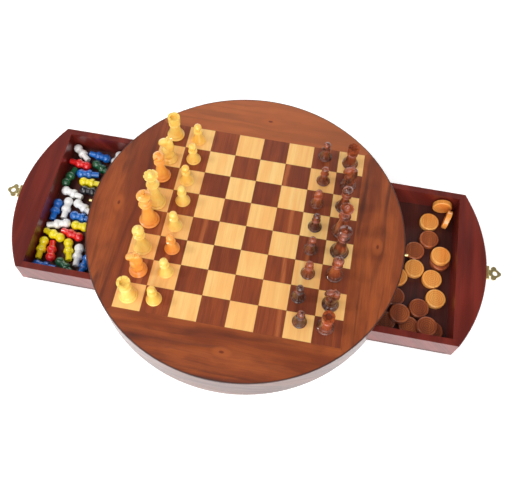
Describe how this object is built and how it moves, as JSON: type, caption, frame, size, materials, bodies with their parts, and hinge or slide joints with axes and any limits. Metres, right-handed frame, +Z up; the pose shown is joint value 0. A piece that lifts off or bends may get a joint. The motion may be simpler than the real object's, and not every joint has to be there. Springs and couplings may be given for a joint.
{
  "type": "combination board game set",
  "caption": "Round wooden case with an inlaid chess board in its lid, chess men on it, and two pull-out drawers that hold halma pegs and draughts.",
  "frame": {"origin": "centre of the case's underside, where it rests on the table", "axes": "+Z up, +X along the drawers' travel towards the dark men and the draughts drawer, +Y towards the far wall"},
  "size_m": [0.4777, 0.3, 0.091],
  "materials": {
    "lid_core_wood": "satin",
    "border_walnut": "satin lacquer",
    "maple_veneer": "satin lacquer",
    "walnut_veneer": "satin lacquer",
    "case_lacquer": "gloss lacquer",
    "guide_wood": "plain",
    "drawer_mahogany": "gloss lacquer",
    "latch_brass": "polished",
    "blue_gloss_paint": "gloss paint",
    "red_gloss_paint": "gloss paint",
    "green_gloss_paint": "gloss paint",
    "yellow_gloss_paint": "gloss paint",
    "white_gloss_paint": "gloss paint",
    "black_gloss_paint": "gloss paint",
    "draught_maple": "satin lacquer",
    "draught_brown": "satin lacquer",
    "boxwood": "satin lacquer",
    "stained_wood": "gloss lacquer"
  },
  "bodies": {
    "case": {"board_core": "lid_core_wood", "border_veneer": "border_walnut", "light_squares": "maple_veneer", "dark_squares": "walnut_veneer", "case_walls": "case_lacquer", "drawer_guides": "guide_wood", "peg_board": "case_lacquer", "latch_studs": "latch_brass"},
    "left_drawer": {"left_drawer_front": "drawer_mahogany", "left_drawer_sides": "drawer_mahogany", "left_drawer_back": "drawer_mahogany", "left_drawer_bottom": "drawer_mahogany", "left_latch_plate": "latch_brass", "blue_pegs": "blue_gloss_paint", "red_pegs": "red_gloss_paint", "green_pegs": "green_gloss_paint", "yellow_pegs": "yellow_gloss_paint", "white_pegs": "white_gloss_paint", "black_pegs": "black_gloss_paint"},
    "right_drawer": {"right_drawer_front": "drawer_mahogany", "right_drawer_sides": "drawer_mahogany", "right_drawer_back": "drawer_mahogany", "right_drawer_bottom": "drawer_mahogany", "right_latch_plate": "latch_brass", "light_draughts": "draught_maple", "dark_draughts": "draught_brown"},
    "left_hasp": {"left_latch_hasp": "latch_brass"},
    "right_hasp": {"right_latch_hasp": "latch_brass"},
    "light_far_rook": {"light_far_rook": "boxwood"},
    "light_far_knight": {"light_far_knight": "boxwood"},
    "light_far_bishop": {"light_far_bishop": "boxwood"},
    "light_queen": {"light_queen": "boxwood"},
    "light_king": {"light_king": "boxwood"},
    "light_near_bishop": {"light_near_bishop": "boxwood"},
    "light_near_knight": {"light_near_knight": "boxwood"},
    "light_near_rook": {"light_near_rook": "boxwood"},
    "light_pawn_1": {"light_pawn_1": "boxwood"},
    "light_pawn_2": {"light_pawn_2": "boxwood"},
    "light_pawn_3": {"light_pawn_3": "boxwood"},
    "light_pawn_4": {"light_pawn_4": "boxwood"},
    "light_pawn_5": {"light_pawn_5": "boxwood"},
    "light_pawn_6": {"light_pawn_6": "boxwood"},
    "light_pawn_7": {"light_pawn_7": "boxwood"},
    "light_pawn_8": {"light_pawn_8": "boxwood"},
    "dark_far_rook": {"dark_far_rook": "stained_wood"},
    "dark_far_knight": {"dark_far_knight": "stained_wood"},
    "dark_far_bishop": {"dark_far_bishop": "stained_wood"},
    "dark_queen": {"dark_queen": "stained_wood"},
    "dark_king": {"dark_king": "stained_wood"},
    "dark_near_bishop": {"dark_near_bishop": "stained_wood"},
    "dark_near_knight": {"dark_near_knight": "stained_wood"},
    "dark_near_rook": {"dark_near_rook": "stained_wood"},
    "dark_pawn_1": {"dark_pawn_1": "stained_wood"},
    "dark_pawn_2": {"dark_pawn_2": "stained_wood"},
    "dark_pawn_3": {"dark_pawn_3": "stained_wood"},
    "dark_pawn_4": {"dark_pawn_4": "stained_wood"},
    "dark_pawn_5": {"dark_pawn_5": "stained_wood"},
    "dark_pawn_6": {"dark_pawn_6": "stained_wood"},
    "dark_pawn_7": {"dark_pawn_7": "stained_wood"},
    "dark_pawn_8": {"dark_pawn_8": "stained_wood"}
  },
  "joints": [
    {"name": "left_drawer_slide", "type": "slide", "parent": "case", "child": "left_drawer", "axis": [-1, 0, 0], "range_m": [-0.073, 0.0186]},
    {"name": "right_drawer_slide", "type": "slide", "parent": "case", "child": "right_drawer", "axis": [1, 0, 0], "range_m": [-0.0775, 0.0141]},
    {"name": "left_hasp_hinge", "type": "hinge", "parent": "left_drawer", "child": "left_hasp", "pos_m": [-0.22455, 0, 0.0311], "axis": [0, 1, 0], "range_deg": [-88, 90]},
    {"name": "right_hasp_hinge", "type": "hinge", "parent": "right_drawer", "child": "right_hasp", "pos_m": [0.22905, 0, 0.0311], "axis": [0, -1, 0], "range_deg": [-88, 90]},
    {"name": "lift_light_far_rook", "type": "slide", "parent": "case", "child": "light_far_rook", "axis": [0, 0, 1], "range_m": [0, 0.08]},
    {"name": "lift_light_far_knight", "type": "slide", "parent": "case", "child": "light_far_knight", "axis": [0, 0, 1], "range_m": [0, 0.08]},
    {"name": "lift_light_far_bishop", "type": "slide", "parent": "case", "child": "light_far_bishop", "axis": [0, 0, 1], "range_m": [0, 0.08]},
    {"name": "lift_light_queen", "type": "slide", "parent": "case", "child": "light_queen", "axis": [0, 0, 1], "range_m": [0, 0.08]},
    {"name": "lift_light_king", "type": "slide", "parent": "case", "child": "light_king", "axis": [0, 0, 1], "range_m": [0, 0.08]},
    {"name": "lift_light_near_bishop", "type": "slide", "parent": "case", "child": "light_near_bishop", "axis": [0, 0, 1], "range_m": [0, 0.08]},
    {"name": "lift_light_near_knight", "type": "slide", "parent": "case", "child": "light_near_knight", "axis": [0, 0, 1], "range_m": [0, 0.08]},
    {"name": "lift_light_near_rook", "type": "slide", "parent": "case", "child": "light_near_rook", "axis": [0, 0, 1], "range_m": [0, 0.08]},
    {"name": "lift_light_pawn_1", "type": "slide", "parent": "case", "child": "light_pawn_1", "axis": [0, 0, 1], "range_m": [0, 0.08]},
    {"name": "lift_light_pawn_2", "type": "slide", "parent": "case", "child": "light_pawn_2", "axis": [0, 0, 1], "range_m": [0, 0.08]},
    {"name": "lift_light_pawn_3", "type": "slide", "parent": "case", "child": "light_pawn_3", "axis": [0, 0, 1], "range_m": [0, 0.08]},
    {"name": "lift_light_pawn_4", "type": "slide", "parent": "case", "child": "light_pawn_4", "axis": [0, 0, 1], "range_m": [0, 0.08]},
    {"name": "lift_light_pawn_5", "type": "slide", "parent": "case", "child": "light_pawn_5", "axis": [0, 0, 1], "range_m": [0, 0.08]},
    {"name": "lift_light_pawn_6", "type": "slide", "parent": "case", "child": "light_pawn_6", "axis": [0, 0, 1], "range_m": [0, 0.08]},
    {"name": "lift_light_pawn_7", "type": "slide", "parent": "case", "child": "light_pawn_7", "axis": [0, 0, 1], "range_m": [0, 0.08]},
    {"name": "lift_light_pawn_8", "type": "slide", "parent": "case", "child": "light_pawn_8", "axis": [0, 0, 1], "range_m": [0, 0.08]},
    {"name": "lift_dark_far_rook", "type": "slide", "parent": "case", "child": "dark_far_rook", "axis": [0, 0, 1], "range_m": [0, 0.08]},
    {"name": "lift_dark_far_knight", "type": "slide", "parent": "case", "child": "dark_far_knight", "axis": [0, 0, 1], "range_m": [0, 0.08]},
    {"name": "lift_dark_far_bishop", "type": "slide", "parent": "case", "child": "dark_far_bishop", "axis": [0, 0, 1], "range_m": [0, 0.08]},
    {"name": "lift_dark_queen", "type": "slide", "parent": "case", "child": "dark_queen", "axis": [0, 0, 1], "range_m": [0, 0.08]},
    {"name": "lift_dark_king", "type": "slide", "parent": "case", "child": "dark_king", "axis": [0, 0, 1], "range_m": [0, 0.08]},
    {"name": "lift_dark_near_bishop", "type": "slide", "parent": "case", "child": "dark_near_bishop", "axis": [0, 0, 1], "range_m": [0, 0.08]},
    {"name": "lift_dark_near_knight", "type": "slide", "parent": "case", "child": "dark_near_knight", "axis": [0, 0, 1], "range_m": [0, 0.08]},
    {"name": "lift_dark_near_rook", "type": "slide", "parent": "case", "child": "dark_near_rook", "axis": [0, 0, 1], "range_m": [0, 0.08]},
    {"name": "lift_dark_pawn_1", "type": "slide", "parent": "case", "child": "dark_pawn_1", "axis": [0, 0, 1], "range_m": [0, 0.08]},
    {"name": "lift_dark_pawn_2", "type": "slide", "parent": "case", "child": "dark_pawn_2", "axis": [0, 0, 1], "range_m": [0, 0.08]},
    {"name": "lift_dark_pawn_3", "type": "slide", "parent": "case", "child": "dark_pawn_3", "axis": [0, 0, 1], "range_m": [0, 0.08]},
    {"name": "lift_dark_pawn_4", "type": "slide", "parent": "case", "child": "dark_pawn_4", "axis": [0, 0, 1], "range_m": [0, 0.08]},
    {"name": "lift_dark_pawn_5", "type": "slide", "parent": "case", "child": "dark_pawn_5", "axis": [0, 0, 1], "range_m": [0, 0.08]},
    {"name": "lift_dark_pawn_6", "type": "slide", "parent": "case", "child": "dark_pawn_6", "axis": [0, 0, 1], "range_m": [0, 0.08]},
    {"name": "lift_dark_pawn_7", "type": "slide", "parent": "case", "child": "dark_pawn_7", "axis": [0, 0, 1], "range_m": [0, 0.08]},
    {"name": "lift_dark_pawn_8", "type": "slide", "parent": "case", "child": "dark_pawn_8", "axis": [0, 0, 1], "range_m": [0, 0.08]}
  ]
}
